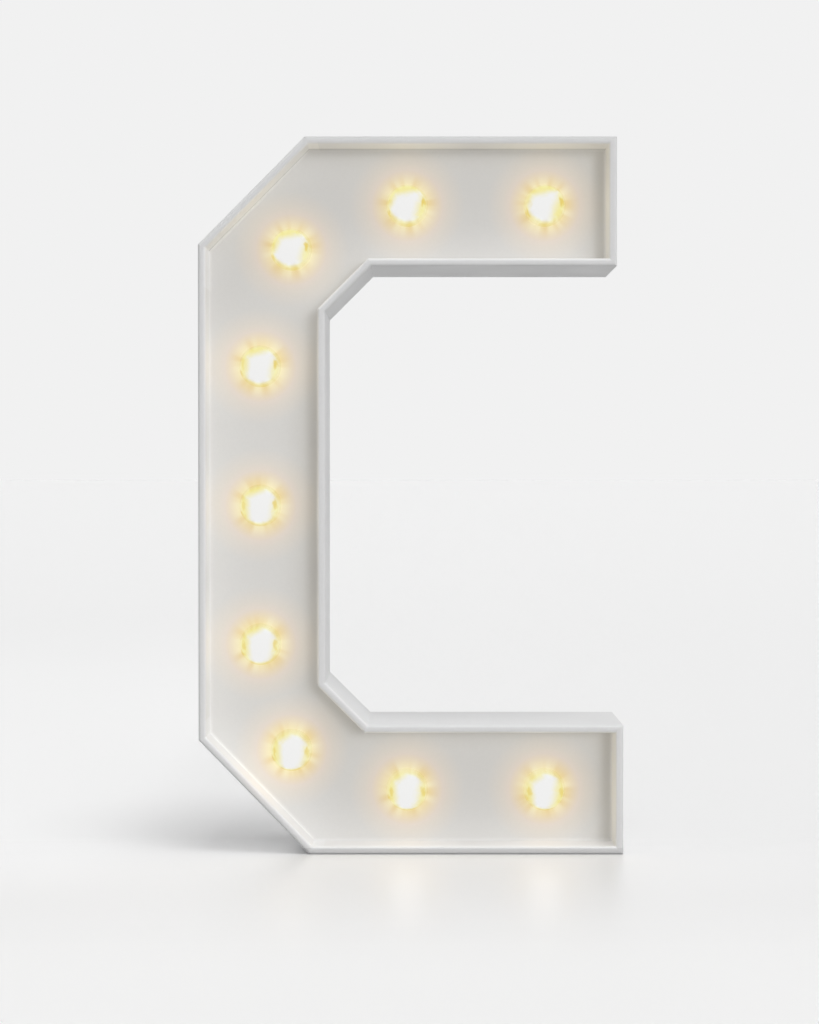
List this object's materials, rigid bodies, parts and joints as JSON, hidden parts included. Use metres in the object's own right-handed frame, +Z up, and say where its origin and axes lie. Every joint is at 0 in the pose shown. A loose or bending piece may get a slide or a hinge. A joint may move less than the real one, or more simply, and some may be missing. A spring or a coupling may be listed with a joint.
{
  "type": "light-up letter",
  "caption": "Battery-powered light-up letter C: white tray with a rounded rim, recessed face, clear faceted bulbs, screwed back cover, battery door and slide switch.",
  "frame": {"origin": "on the ground, under the middle of the letter's box", "axes": "+Z up the letter, +X to the right as seen from the front, the lit front faces -Y"},
  "size_m": [0.1304, 0.042, 0.22],
  "materials": {
    "tray_white": "fine satin moulding",
    "cover_white": "fine moulded texture",
    "door_white": "fine moulded texture",
    "bulb_clear": "clear cut plastic, lit warm white",
    "light_lens": "clear lens, lit warm white",
    "wire_red": "smooth sleeve",
    "wire_black": "smooth sleeve",
    "resistor_tan": "lacquered",
    "switch_steel": "plated sheet",
    "switch_board": "pressed board",
    "brass": "stamped",
    "knob_black": "moulded",
    "screw_steel": "zinc plated",
    "contact_nickel": "nickel plated",
    "cell_case": "printed sleeve, plain"
  },
  "bodies": {
    "letter": {"front_shell": "tray_white", "back_cover": "cover_white", "bulb_1": "bulb_clear", "bulb_2": "bulb_clear", "bulb_3": "bulb_clear", "bulb_4": "bulb_clear", "bulb_5": "bulb_clear", "bulb_6": "bulb_clear", "bulb_7": "bulb_clear", "bulb_8": "bulb_clear", "bulb_9": "bulb_clear", "led_1": "light_lens", "led_2": "light_lens", "led_3": "light_lens", "led_4": "light_lens", "led_5": "light_lens", "led_6": "light_lens", "led_7": "light_lens", "led_8": "light_lens", "led_9": "light_lens", "wire_positive": "wire_red", "wire_negative": "wire_black", "wire_switch": "wire_red", "resistor": "resistor_tan", "switch_frame": "switch_steel", "switch_base": "switch_board", "switch_terminals": "brass", "switch_screws": "screw_steel", "contact_bridge": "contact_nickel", "contact_positive": "contact_nickel", "contact_negative": "contact_nickel", "spring_lower": "contact_nickel", "spring_upper": "contact_nickel", "cell_upper": "cell_case", "cell_lower": "cell_case", "cover_screws": "screw_steel"},
    "slider": {"switch_knob": "knob_black", "switch_wiper": "brass"},
    "door": {"battery_door": "door_white"}
  },
  "joints": [
    {"name": "switch_slide", "type": "slide", "parent": "letter", "child": "slider", "axis": [1, 0, 0], "range_m": [0, 0.003]},
    {"name": "door_hinge", "type": "hinge", "parent": "letter", "child": "door", "pos_m": [0.00155, 0.0198, 0.01985], "axis": [0, 0, 1], "range_deg": [0, 85]}
  ]
}
